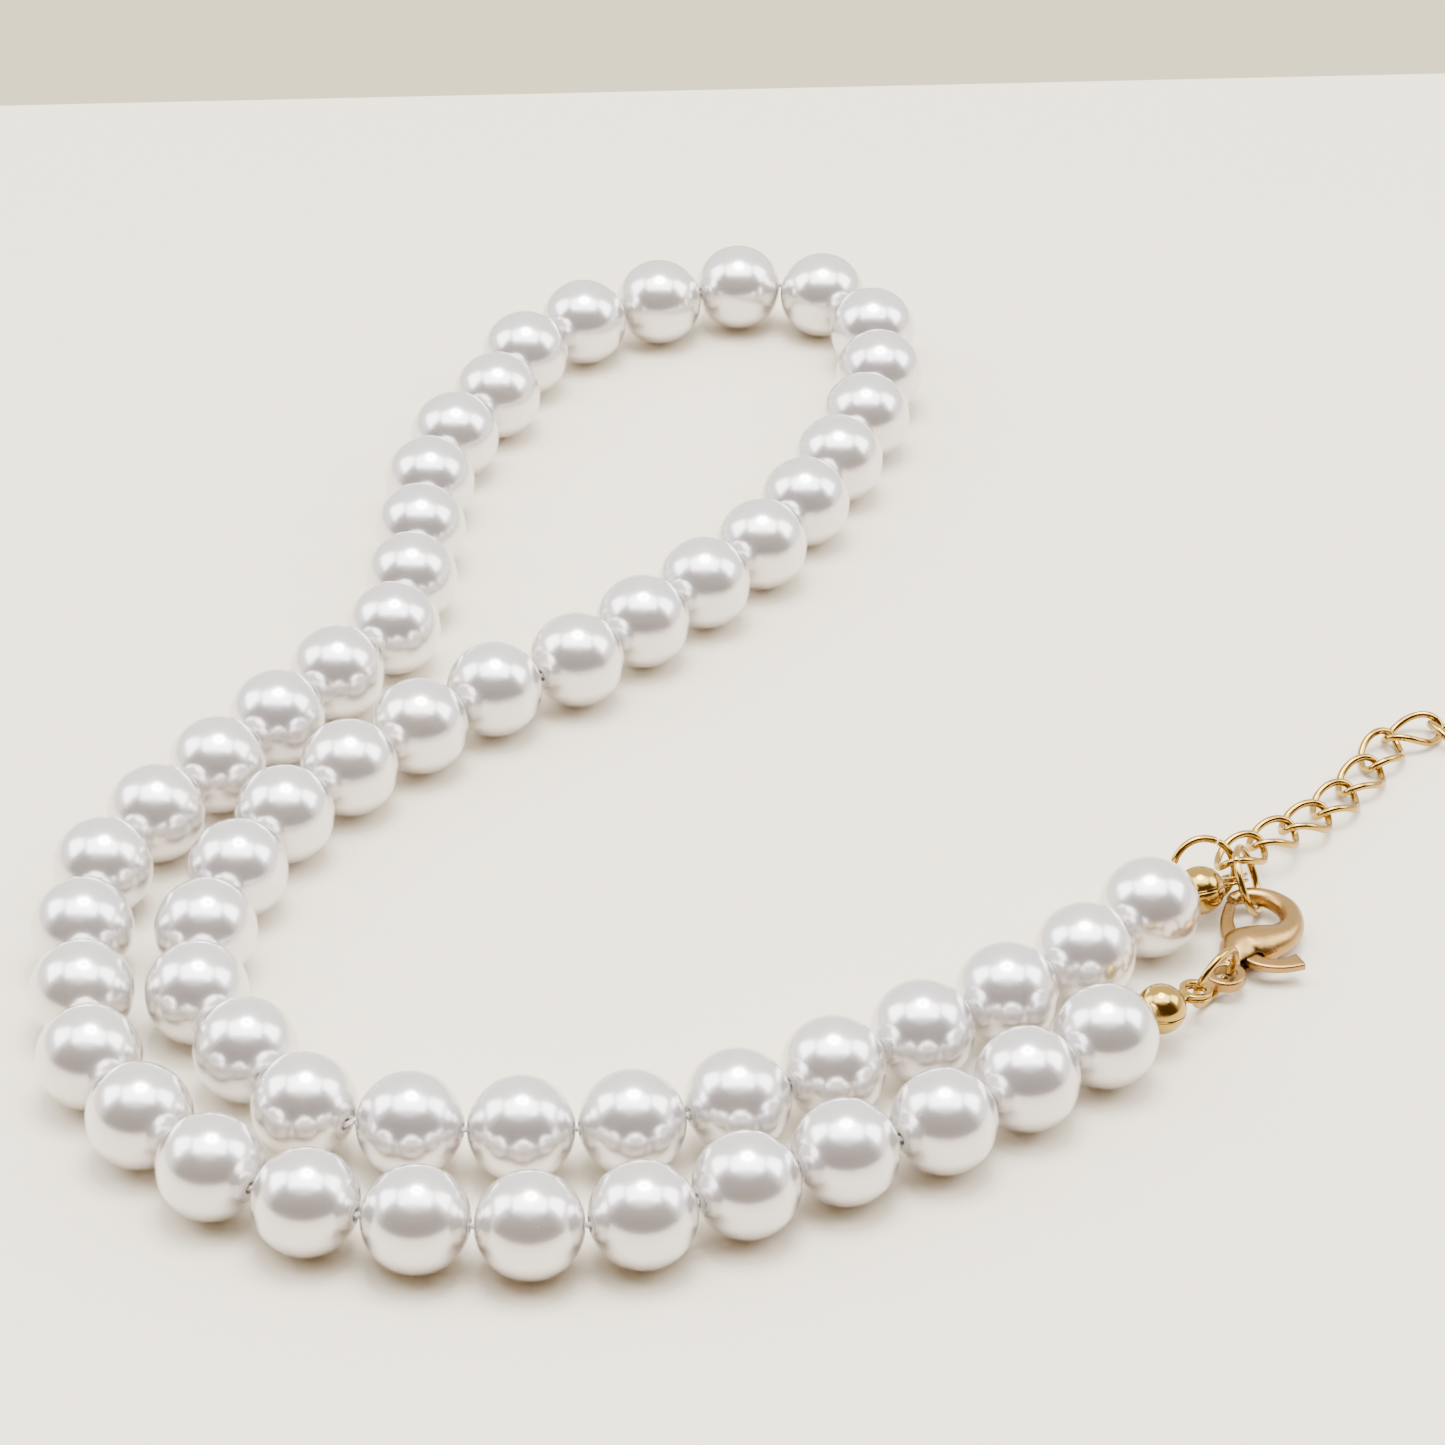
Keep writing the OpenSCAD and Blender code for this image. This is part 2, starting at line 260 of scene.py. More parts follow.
lay_on(bench, bench.node("ShaderNodeBsdfPrincipled", {}, {
    "Base Color": body_colour,
    "Metallic": 0.8 - at_mouth * 0.5,
    "Roughness": 0.24 + (clouds - 0.5) * 0.05 + at_mouth * 0.2 + pricks * 0.2,
    "Subsurface Weight": 0.25,
    "Subsurface Radius": (1.0, 0.9, 0.75),
    "Subsurface Scale": 0.0009,
    "Coat Weight": 1.0 - at_mouth * 0.5,
    "Coat Roughness": 0.035,
    "Coat IOR": 1.55,
    "Normal": bench.node("ShaderNodeBump", {}, {
        "Height": surface_height, "Strength": 0.25, "Distance": 0.00003}),
}))


def new_recipe(name, wanted):
    """An empty geometry recipe with named inputs, given as name: socket type."""
    recipe = bpy.data.node_groups.new(name, "GeometryNodeTree")
    recipe.interface.new_socket(name="Geometry", in_out="INPUT", socket_type="NodeSocketGeometry")
    recipe.interface.new_socket(name="Geometry", in_out="OUTPUT", socket_type="NodeSocketGeometry")
    for socket, kind in wanted.items():
        recipe.interface.new_socket(name=socket, in_out="INPUT", socket_type=kind)
    bench = Bench(recipe)
    given = recipe.nodes.new("NodeGroupInput")
    return recipe, bench, {s.name: Signal(bench, s) for s in given.outputs if s.name}


def end_recipe(bench, shape, material):
    """Every recipe ends the same way: real geometry, smooth, with its material."""
    shape = bench.node("GeometryNodeRealizeInstances", {}, {"Geometry": shape})
    shape = bench.node("GeometryNodeSetShadeSmooth", {}, {"Geometry": shape})
    shape = bench.node("GeometryNodeSetMaterial", {}, {"Geometry": shape, "Material": material})
    bench.node("NodeGroupOutput", {}, {"Geometry": shape})


def plain_mesh(thing, material=None):
    """Applies the modifiers of a thing made in millimetres and returns it as a finished piece."""
    name = thing.name
    shaped = thing.evaluated_get(bpy.context.evaluated_depsgraph_get())
    mesh = bpy.data.meshes.new_from_object(shaped)
    thing.name = name + "_blank"
    mesh.transform(Matrix.Scale(MM, 4))
    if material:
        mesh.materials.clear()
        mesh.materials.append(material)
    piece = bpy.data.objects.new(name, mesh)
    bpy.context.scene.collection.objects.link(piece)
    bpy.data.objects.remove(thing)
    return piece


def cooked(blank, recipe, values):
    """The blank after the recipe, with these values for its named inputs."""
    step = blank.modifiers.new("recipe", "NODES")
    step.node_group = recipe
    for socket in recipe.interface.items_tree:
        if socket.in_out == "INPUT" and socket.name in values:
            step[socket.identifier] = values[socket.name]
    return plain_mesh(blank)


strand_recipe, bench, given = new_recipe("pearls_on_a_strand", {
    "Pearl": "NodeSocketObject", "Tone Seed": "NodeSocketInt", "Finish": "NodeSocketMaterial"})
number = bench.node("GeometryNodeInputNamedAttribute", {"data_type": "INT"}, {"Name": "number"})
hole_way = bench.node("GeometryNodeInputNamedAttribute", {"data_type": "FLOAT_VECTOR"},
                      {"Name": "hole_way"})
shade = bench.node("FunctionNodeRandomValue", {"data_type": "FLOAT"},
                   {"ID": number, "Seed": given["Tone Seed"]}, output=1)
places = bench.node("GeometryNodeStoreNamedAttribute", {"data_type": "FLOAT", "domain": "POINT"},
                    {"Geometry": given["Geometry"], "Name": "tone", "Value": shade})
pearl = bench.node("GeometryNodeObjectInfo", {}, {"Object": given["Pearl"]}, output="Geometry")
turn = bench.node("FunctionNodeAlignRotationToVector", {"axis": "Z"}, {"Vector": hole_way})
strung = bench.node("GeometryNodeInstanceOnPoints", {},
                    {"Points": places, "Instance": pearl, "Rotation": turn})
end_recipe(bench, strung, given["Finish"])

for g, numbers in enumerate(pearl_groups):
    name = f"pearls_{g + 1:02d}"
    blank = solid(f"strung_{name}", [pearl_centres[k] for k in numbers], [])
    numbering = blank.data.attributes.new("number", "INT", "POINT")
    facing = blank.data.attributes.new("hole_way", "FLOAT_VECTOR", "POINT")
    for i, k in enumerate(numbers):
        numbering.data[i].value = k
        facing.data[i].vector = hole_ways[k]
    piece = cooked(blank, strand_recipe,
                   {"Pearl": pearl_pattern, "Tone Seed": 7, "Finish": pearl_lacquer})
    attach(piece, name)
    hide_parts(name)
bpy.data.objects.remove(pearl_pattern)


# ---------------------------------------------------------------------------
# The stringing thread: three plies of white polyester twisted together, pulled
# straight through the pearls, with a stretch between each pair of mouths.
# ---------------------------------------------------------------------------
THREAD_RADIUS = 0.25
TWIST_LENGTH = 1.6
MOUTH_REACH = PEARL_RADIUS * 0.97

thread_fibre, bench = finish_called("thread_fibre")
place = bench.node("ShaderNodeTexCoord", output="Object")
fuzz = bench.noise(place, 9000, 3.0)
soil = bench.noise(place, 600)
lay_on(bench, bench.node("ShaderNodeBsdfPrincipled", {}, {
    "Base Color": bench.blend_colours(soil, rgb(0.86, 0.84, 0.79), rgb(0.76, 0.73, 0.65)),
    "Roughness": 0.72 + fuzz * 0.2,
    "Normal": bench.node("ShaderNodeBump", {}, {
        "Height": fuzz, "Strength": 0.6, "Distance": 0.00004}),
}))

thread_recipe, bench, given = new_recipe("twisted_thread", {
    "Radius": "NodeSocketFloat", "Twist Length": "NodeSocketFloat", "Finish": "NodeSocketMaterial"})
line = bench.node("GeometryNodeMeshToCurve", {}, {"Mesh": given["Geometry"]})
line = bench.node("GeometryNodeResampleCurve", {"mode": "LENGTH"}, {"Curve": line, "Length": 0.2})
run = bench.node("GeometryNodeSplineParameter", output="Length")
turns = run.maths("DIVIDE", run, given["Twist Length"]) * (2 * math.pi)
line = bench.node("GeometryNodeSetCurveTilt", {}, {"Curve": line, "Tilt": turns})
ply = bench.node("GeometryNodeCurvePrimitiveCircle", {}, {
    "Resolution": 12, "Radius": 1.0})
round_ply = bench.node("GeometryNodeInputPosition")
place_x = bench.node("ShaderNodeSeparateXYZ", {}, {0: round_ply}, output=0)
place_y = bench.node("ShaderNodeSeparateXYZ", {}, {0: round_ply}, output=1)
ply_angle = place_x.maths("ARCTAN2", place_y, place_x)
lobe = 0.86 + 0.14 * ply_angle.maths("COSINE", ply_angle * 3, 0.0)
scaled = bench.node("ShaderNodeVectorMath", {"operation": "SCALE"},
                    {0: round_ply, "Scale": lobe * given["Radius"]})
ply = bench.node("GeometryNodeSetPosition", {}, {"Geometry": ply, "Position": scaled})
tube = bench.node("GeometryNodeCurveToMesh", {}, {
    "Curve": line, "Profile Curve": ply, "Fill Caps": True})
end_recipe(bench, tube, given["Finish"])


def thread_run(name, points, body):
    """A stretch of thread through points, riding on one body."""
    blank = bpy.data.meshes.new(name)
    blank.from_pydata([tuple(p) for p in points], [(i, i + 1) for i in range(len(points) - 1)], [])
    blank = bpy.data.objects.new(name, blank)
    bpy.context.scene.collection.objects.link(blank)
    piece = cooked(blank, thread_recipe, {
        "Radius": THREAD_RADIUS, "Twist Length": TWIST_LENGTH, "Finish": thread_fibre})
    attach(piece, body)
    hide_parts("thread")


def half_way(k):
    """The middle of the thread's crossing between pearl k and the next one."""
    leave = pearl_centres[k] + hole_ways[k] * MOUTH_REACH
    enter = pearl_centres[k + 1] - hole_ways[k + 1] * MOUTH_REACH
    return (leave + enter) / 2


for g, numbers in enumerate(pearl_groups):
    points = [half_way(numbers[0] - 1)] if g > 0 else []
    for k in numbers:
        reach = hole_ways[k] * MOUTH_REACH
        points += [pearl_centres[k] - reach, pearl_centres[k] + reach]
    points += [half_way(numbers[-1])] if g < len(pearl_groups) - 1 else []
    thread_run(f"thread_{g + 1:02d}", points, f"pearls_{g + 1:02d}")
for end, k, way in (("extender", 0, -1), ("clasp", PEARL_COUNT - 1, 1)):
    leave = pearl_centres[k] + way * hole_ways[k] * MOUTH_REACH
    inward = (tip_places[end] - pearl_centres[k]).normalized()
    thread_run(f"thread_{end}_end", [leave, tip_places[end] - inward * 1.8, tip_places[end],
                                     tip_places[end] + inward * 0.8], f"tip_{end}")


# ---------------------------------------------------------------------------
# Gold finishes. The findings are brass with a thin light gold plating: mirror
# bright on wire and cups, and tumbled to a rosier satin on the cast clasp.
# ---------------------------------------------------------------------------
def gold_plating(name, light, deep, roughness, grain, dimple):
    """Plated metal: colour clouds, fine polishing scratches, and dents from tumbling."""
    material, bench = finish_called(name)
    place = bench.node("ShaderNodeTexCoord", output="Object")
    clouds = bench.noise(place, 420, 3.0)
    dents = bench.noise(place, 900, 2.0)
    scratches = bench.noise(bench.node("ShaderNodeMapping", {}, {
        "Vector": place, "Rotation": (0.3, 0.5, 0.8), "Scale": (1.0, 9.0, 1.0)}), 2600, 4.0, 0.7)
    dull = bench.step(bench.noise(place, 240, 4.0), 0.5, 0.75)
    lay_on(bench, bench.node("ShaderNodeBsdfPrincipled", {}, {
        "Base Color": bench.blend_colours(clouds * 0.7 + dull * 0.3, light, deep),
        "Metallic": 1.0,
        "Roughness": roughness + scratches * 0.08 + dull * 0.08,
        "Normal": bench.node("ShaderNodeBump", {}, {
            "Height": scratches * grain + dents * dimple, "Strength": 0.5, "Distance": 0.00003}),
    }))
    return material


bright_gold = gold_plating("bright_gold", rgb(0.50, 0.33, 0.085), rgb(0.37, 0.225, 0.05),
                           0.09, 0.25, 0.5)
satin_gold = gold_plating("satin_gold", rgb(0.42, 0.255, 0.09), rgb(0.31, 0.175, 0.055),
                          0.22, 0.7, 1.0)
dull_gold = gold_plating("dull_gold", rgb(0.72, 0.53, 0.30), rgb(0.52, 0.36, 0.19),
                         0.34, 0.8, 1.4)


# ---------------------------------------------------------------------------
# Bead tips: two stamped half cups joined by a hinge strip at the back, closed
# over the thread's crimp. Each half ends in a flat hook loop, one on the other.
# ---------------------------------------------------------------------------
CUP_RADIUS = 1.95
CUP_WALL = 0.3
SEAM = 0.15
LOOP_REACH = 3.9
LOOP_RADIUS = 1.05
LOOP_RIM = 0.25
PRONG = 0.3


def half_cup(side):
    """A half cup open towards the seam, with a rolled rim; side is 1 above and -1 below."""
    rim = math.asin((SEAM / 2 + 0.06) / CUP_RADIUS)
    outline = [(0, CUP_RADIUS)]
    for i in range(1, 17):
        angle = (math.pi / 2 - rim) * i / 16
        outline.append((CUP_RADIUS * math.sin(angle), CUP_RADIUS * math.cos(angle)))
    inner = CUP_RADIUS - CUP_WALL
    outline += [(CUP_RADIUS - 0.03, SEAM / 2 + 0.015), (CUP_RADIUS - 0.09, SEAM / 2),
                (inner + 0.07, SEAM / 2), (inner + 0.02, SEAM / 2 + 0.02)]
    for i in range(10, 0, -1):
        angle = (math.pi / 2 - 0.1) * i / 10
        outline.append((inner * math.sin(angle), inner * math.cos(angle)))
    outline.append((0, inner))
    cup = turned("half_cup", outline, 56, closed=False)
    if side < 0:
        cup.data.transform(Matrix.Rotation(math.pi, 4, "X"))
    return cup


def rounded_plate(name, outline, low, high, edge):
    """A flat plate between two heights with rounded edges; outline is its closed outer line."""
    made = bmesh.new()
    base = made.faces.new([made.verts.new((x, y, low)) for x, y in outline])
    made.normal_update()
    if base.normal.z > 0:
        base.normal_flip()
    top = bmesh.ops.extrude_face_region(made, geom=[base])
    bmesh.ops.translate(made, vec=(0, 0, high - low),
                        verts=[v for v in top["geom"] if isinstance(v, bmesh.types.BMVert)])
    bmesh.ops.recalc_face_normals(made, faces=made.faces)
    mesh = bpy.data.meshes.new(name)
    made.to_mesh(mesh)
    made.free()
    plate = bpy.data.objects.new(name, mesh)
    bpy.context.scene.collection.objects.link(plate)
    rounding = plate.modifiers.new("edges", "BEVEL")
    rounding.width, rounding.segments = edge, 3
    rounding.limit_method, rounding.angle_limit = "ANGLE", math.radians(50)
    return plate


def ring_section(name, centre, radius, half_width, half_height, start, stop, steps):
    """A flat band with rounded edges bent round centre, from angle start to stop."""
    sides = 12
    points, faces = [], []
    for i in range(steps + 1):
        a = math.radians(start + (stop - start) * i / steps)
        for j in range(sides):
            b = 2 * math.pi * (j + 0.5) / sides
            wide = math.copysign(abs(math.cos(b)) ** 0.6, math.cos(b)) * half_width
            tall = math.copysign(abs(math.sin(b)) ** 0.6, math.sin(b)) * half_height
            points.append((centre[0] + (radius + wide) * math.cos(a),
                           centre[1] + (radius + wide) * math.sin(a), centre[2] + tall))
    for i in range(steps):
        for j in range(sides):
            k = (j + 1) % sides
            faces.append((i * sides + j, (i + 1) * sides + j, (i + 1) * sides + k, i * sides + k))
    faces += [tuple(range(sides - 1, -1, -1)),
              tuple(steps * sides + j for j in range(sides))]
    return solid(name, points, faces)


def joined(name, things):
    """One object of several, with their modifiers applied."""
    combined = bmesh.new()
    for thing in things:
        shaped = thing.evaluated_get(bpy.context.evaluated_depsgraph_get())
        mesh = bpy.data.meshes.new_from_object(shaped)
        combined.from_mesh(mesh)
        bpy.data.meshes.remove(mesh)
        bpy.data.objects.remove(thing)
    bmesh.ops.recalc_face_normals(combined, faces=combined.faces)
    mesh = bpy.data.meshes.new(name)
    combined.to_mesh(mesh)
    combined.free()
    mesh.shade_smooth()
    made = bpy.data.objects.new(name, mesh)
    bpy.context.scene.collection.objects.link(made)
    return made


for end in ("extender", "clasp"):
    heading, slope, roll = (math.radians(a) for a in TIP_TURNS[end])
    settle = (Matrix.Translation(tip_places[end]) @ Matrix.Rotation(heading, 4, "Z")
              @ Matrix.Rotation(slope, 4, "Y") @ Matrix.Rotation(roll, 4, "X"))
    parts = [half_cup(1), half_cup(-1)]
    # The hinge strip bridges the seam behind, bent round the cup with a gap for the thread
    for start, stop in ((122, 168), (192, 238)):
        parts.append(ring_section("hinge", (0, 0, 0), CUP_RADIUS - CUP_WALL / 2, CUP_WALL / 2 - 0.01,
                                  SEAM / 2 + 0.05, start, stop, 10))
    for side in (-1, 1):
        height = side * (SEAM + PRONG) / 2
        neck = rounded_plate("prong_neck", [(1.55, -0.5), (2.0, -0.5), (2.4, -0.42), (2.95, -0.5),
                                            (2.95, 0.5), (2.4, 0.42), (2.0, 0.5), (1.55, 0.5)],
                             height - PRONG / 2, height + PRONG / 2, 0.06)
        loop = ring_section("prong_loop", (LOOP_REACH, 0, height), LOOP_RADIUS, LOOP_RIM,
                            PRONG / 2, 180, 540, 48)
        parts += [neck, loop]
    tip = joined(f"bead_tip_{end}_cup", parts)
    tip.data.transform(settle)
    tip = plain_mesh(tip, bright_gold)
    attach(tip, f"tip_{end}")
    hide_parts(f"bead_tip_{end}")

    # The crimp: a short tube squeezed flat across its middle so that it bites the thread
    outline = [(0.66, 0.5), (0.7, 0.44), (0.7, -0.44), (0.66, -0.5), (0.34, -0.5), (0.3, -0.44),
               (0.3, 0.44), (0.34, 0.5)]
    rows = []
    for (r1, z1), (r2, z2) in zip(outline, outline[1:] + outline[:1]):
        pieces = 8 if abs(z2 - z1) > 0.5 else 1
        rows += [(r1 + (r2 - r1) * i / pieces, z1 + (z2 - z1) * i / pieces) for i in range(pieces)]
    crimp = turned(f"crimp_{end}_bead", rows, 28, closed=True)
    for vertex in crimp.data.vertices:
        squeeze = math.exp(-(vertex.co.z / 0.22) ** 2)
        vertex.co.y *= 1 - 0.22 * squeeze
        vertex.co.x *= 1 + 0.05 * squeeze
    crimp.data.transform(settle @ Matrix.Rotation(math.pi / 2, 4, "Y"))
    crimp = plain_mesh(crimp, dull_gold)
    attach(crimp, f"tip_{end}")
    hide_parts(f"crimp_{end}")


# ---------------------------------------------------------------------------
# Jump rings: 0.6 mm round wire wound into an open ring, cut with a saw, and
# closed with pliers, so that the two cut ends meet a little out of line.
# ---------------------------------------------------------------------------
WIRE_RADIUS = 0.3
RING_CUT = 4
JUMP_RINGS = {
    "clasp_ring": ((38.1, -32.55, 2.9), 102, -39, 2.5, 60),
    "extender_ring": ((38.35, -18.2, 2.75), 63, -79, 2.5, 150),
    "catch_ring": ((41.74, -19.58, 2.78), 66.6, -7.3, 2.65, 200),
}

wire_recipe, bench, given = new_recipe("drawn_wire", {
    "Wire Radius": "NodeSocketFloat", "Sides": "NodeSocketInt", "Finish": "NodeSocketMaterial"})
line = bench.node("GeometryNodeMeshToCurve", {}, {"Mesh": given["Geometry"]})
thickness = bench.node("GeometryNodeInputNamedAttribute", {"data_type": "FLOAT"},
                       {"Name": "thickness"})
section = bench.node("GeometryNodeCurvePrimitiveCircle", {}, {
    "Resolution": given["Sides"], "Radius": given["Wire Radius"]})
wire = bench.node("GeometryNodeCurveToMesh", {}, {
    "Curve": line, "Profile Curve": section, "Scale": thickness, "Fill Caps": True})
end_recipe(bench, wire, given["Finish"])


def bent_wire(name, points, thickness, closed, sides, finish):
    """Wire along points, thicker or thinner by the factor at each point."""
    count = len(points)
    edges = [(i, (i + 1) % count) for i in range(count if closed else count - 1)]
    mesh = bpy.data.meshes.new(name)
    mesh.from_pydata([tuple(p) for p in points], edges, [])
    factor = mesh.attributes.new("thickness", "FLOAT", "POINT")
    for i, value in enumerate(thickness):
        factor.data[i].value = value
    blank = bpy.data.objects.new(name, mesh)
    bpy.context.scene.collection.objects.link(blank)
    return cooked(blank, wire_recipe, {"Wire Radius": WIRE_RADIUS, "Sides": sides, "Finish": finish})


for name, (centre, tilt, heading, radius, cut_at) in JUMP_RINGS.items():
    settle = (Matrix.Translation(on_table(*centre)) @ Matrix.Rotation(math.radians(heading), 4, "Z")
              @ Matrix.Rotation(math.radians(tilt), 4, "Y"))
    points, thickness = [], []
    steps = 84
    for i in range(steps + 1):
        part = i / steps
        angle = math.radians(cut_at + RING_CUT / 2 + (360 - RING_CUT) * part)
        # the ends were pulled a little out of the ring's plane
        lift = 0.05 * (math.exp(-part * 14) - math.exp(-(1 - part) * 14))
        points.append(settle @ Vector((radius * math.cos(angle), radius * math.sin(angle), lift)))
        thickness.append(0.86 if i in (0, steps) else 1.0)
    ring = bent_wire(f"{name}_wire", points, thickness, False, 20, bright_gold)
    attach(ring, name)
    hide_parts(name)


# ---------------------------------------------------------------------------
# Extender chain: links of the same wire, each an oval twisted out of its plane
# and soldered shut where the seam bulges a little.
# ---------------------------------------------------------------------------
LINK_LENGTH = 2.68
LINK_WIDTH = 1.65
LINK_TWIST = 45
LINK_PITCH = 4.45
LINK_TURNS = (50, 49, 46, 56, 56, 66, 26, -28, -50, -34, -20, -12)
LINK_SLOPES = (5, 9, 8, 4, 0, 0, 0, 0, 0, 0, 0, 0)
first_link, second_link = on_table(41.55, -16.2, 2.95), on_table(44.45, -12.85, 2.25)

link_places = [first_link, second_link]
for n in range(2, len(LINK_TURNS)):
    step = (aimed(LINK_TURNS[n - 1], LINK_SLOPES[n - 1]) + aimed(LINK_TURNS[n], LINK_SLOPES[n]))
    link_places.append(link_places[-1] + LINK_PITCH / 2 * step)

for n, (centre, heading, slope) in enumerate(zip(link_places, LINK_TURNS, LINK_SLOPES), 1):
    settle = (Matrix.Translation(centre) @ Matrix.Rotation(math.radians(heading), 4, "Z")
              @ Matrix.Rotation(math.radians(slope), 4, "Y"))
    points, thickness = [], []
    steps = 72
    seam_at = 0.25 if n % 2 else 0.75
    for i in range(steps):
        t = 2 * math.pi * i / steps
        lean = math.radians(LINK_TWIST) * math.cos(t)
        points.append(settle @ Vector((LINK_LENGTH * math.cos(t),
                                       LINK_WIDTH * math.sin(t) * math.cos(lean),
                                       LINK_WIDTH * math.sin(t) * math.sin(lean))))
        thickness.append(1.0 + 0.07 * math.exp(-((i / steps - seam_at) * 40) ** 2))
    link = bent_wire(f"link_{n:02d}_wire", points, thickness, True, 16, bright_gold)
    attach(link, f"link_{n:02d}")
    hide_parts(f"link_{n:02d}")


# ---------------------------------------------------------------------------
# Lobster clasp body: cast in one piece with its eye, thick in the bulb where the
# pin sits, thinning round the hook. A slot is milled for the lever, and the
# casting is tumbled, which rounds every edge.
# ---------------------------------------------------------------------------
EYE = (39.15, -30.6, 1.5)
CLASP_TURN = 72
EYE_RADIUS = 1.6
EYE_HOLE = 0.9
EYE_THICKNESS = 1.0
PIVOT = (3.7, -0.5)
PIN_RADIUS = 0.4
SLOT = 1.2
SLOT_REACH = 4.8
LEAF_REACH = 5.95
BODY_LINE = [
    (1.3, -0.1, 0.75, 0.75), (2.6, -0.2, 1.2, 1.35), (4, -0.5, 1.45, 1.9), (5, -1.6, 1.4, 1.8),
    (6.4, -3, 1.15, 1.3), (8.2, -3.4, 1, 1), (10, -2.7, 0.9, 0.9), (11, -1.2, 0.8, 0.8),
    (11.1, 0.4, 0.7, 0.7), (10.5, 1.5, 0.6, 0.6), (9.8, 1.9, 0.5, 0.5),
]
LEVER_LINE = [
    (9.9, 1.75, 0.4), (8.4, 1.7, 0.45), (6.6, 1.45, 0.55), (5, 0.8, 0.7), (3.7, -0.4, 0.9),
    (2.5, -1.8, 0.65), (2.35, -3, 0.6), (2.8, -4.2, 0.65), (3.6, -5.1, 0.8),
]
clasp_place = (Matrix.Translation(on_table(*EYE))
               @ Matrix.Rotation(math.radians(CLASP_TURN), 4, "Z"))


def swept(name, line, sides, half_height, squareness):
    """A bar along a flat line of (x, y, half width), with the height that half_height gives."""
    points, faces = [], []
    count = len(line)
    for i, (x, y, half_width) in enumerate(line):
        before, after = line[max(i - 1, 0)], line[min(i + 1, count - 1)]
        way = Vector((after[0] - before[0], after[1] - before[1], 0)).normalized()
        side = Vector((-way.y, way.x, 0))
        for j in range(sides):
            b = 2 * math.pi * (j + 0.5) / sides
            wide = math.copysign(abs(math.cos(b)) ** squareness, math.cos(b)) * half_width
            tall = math.copysign(abs(math.sin(b)) ** squareness, math.sin(b)) * half_height(i, half_width)
            points.append(Vector((x, y, 0)) + side * wide + Vector((0, 0, tall)))
    for i in range(count - 1):
        for j in range(sides):
            k = (j + 1) % sides
            faces.append((i * sides + j, i * sides + k, (i + 1) * sides + k, (i + 1) * sides + j))
    faces += [tuple(range(sides - 1, -1, -1)), tuple((count - 1) * sides + j for j in range(sides))]
    bar = solid(name, points, faces)
    shell = bmesh.new()
    shell.from_mesh(bar.data)
    bmesh.ops.recalc_face_normals(shell, faces=shell.faces)
    shell.to_mesh(bar.data)
    shell.free()
    return bar


def fine_line(points, steps):
    return [tuple(along(points, i / steps)) for i in range((len(points) - 1) * steps + 1)]


def remeshed(thing, size):
    """Adds a remesh that fuses what overlaps into one skin with cells of this size."""
    fuse = thing.modifiers.new("fuse", "REMESH")
    fuse.mode, fuse.voxel_size, fuse.adaptivity = "VOXEL", size, 0.0
    fuse.use_smooth_shade = True


def tumbled(thing, rounds):
    """Adds smoothing that takes the edges off."""
    rub = thing.modifiers.new("tumble", "SMOOTH")
    rub.factor, rub.iterations = 0.5, rounds


def cut_away(thing, cutter):
    """Adds a cut by another object."""
    cut = thing.modifiers.new("cut", "BOOLEAN")
    cut.operation, cut.object, cut.solver = "DIFFERENCE", cutter, "EXACT"


body_line = fine_line(BODY_LINE, 6)
spine = swept("spine", [(x, y, wide) for x, y, tall, wide in body_line], 24,
              lambda i, half_width: body_line[i][2], 1.0)
eye_top = EYE_THICKNESS / 2
eye = turned("eye", [(EYE_HOLE - 0.05, eye_top), (EYE_RADIUS - 0.15, eye_top),
                     (EYE_RADIUS, eye_top - 0.14), (EYE_RADIUS, 0.14 - eye_top),
                     (EYE_RADIUS - 0.15, -eye_top), (EYE_HOLE - 0.05, -eye_top)], 48, closed=True)
casting = joined("casting", [spine, eye])
remeshed(casting, 0.09)
tumbled(casting, 4)

lever_room = []
room_line = [(x, y, w + 0.25) for x, y, w in fine_line(LEVER_LINE, 4)
             if (Vector((x, y)) - Vector(PIVOT)).length < SLOT_REACH]
for swing in (0, -7, -14, -18):
    room = swept("room", room_line, 16, lambda i, half_width: SLOT / 2, 0.25)
    room.data.transform(Matrix.Translation((*PIVOT, 0)) @ Matrix.Rotation(math.radians(swing), 4, "Z")
                        @ Matrix.Translation((-PIVOT[0], -PIVOT[1], 0)))
    lever_room.append(room)
room = joined("lever_room", lever_room)
remeshed(room, 0.1)
hole = turned("eye_hole", [(0, 2), (EYE_HOLE, 2), (EYE_HOLE, -2), (0, -2)], 40, closed=False)
for cutter in (room, hole):
    cut_away(casting, cutter)
remeshed(casting, 0.075)
casting.modifiers[-1].name = "fuse_again"
tumbled(casting, 3)
casting.name = "clasp_casting"
casting = plain_mesh(casting, satin_gold)
casting.data.transform(Matrix.Scale(MM, 4) @ clasp_place @ Matrix.Scale(1 / MM, 4))
for cutter in (room, hole):
    bpy.data.objects.remove(cutter)
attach(casting, "clasp")
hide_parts("clasp_body")

# The pin is riveted through the bulb, and both its ends are spread into flat domes
pin_end = [(0, 1.2), (PIN_RADIUS - 0.12, 1.19), (PIN_RADIUS - 0.02, 1.12), (PIN_RADIUS, 1.02)]
pin = turned("clasp_pin_rivet", pin_end + [(PIN_RADIUS, 0)] + [(r, -z) for r, z in pin_end[::-1]],
             32, closed=False)
pin.data.transform(clasp_place @ Matrix.Translation((*PIVOT, 0)))
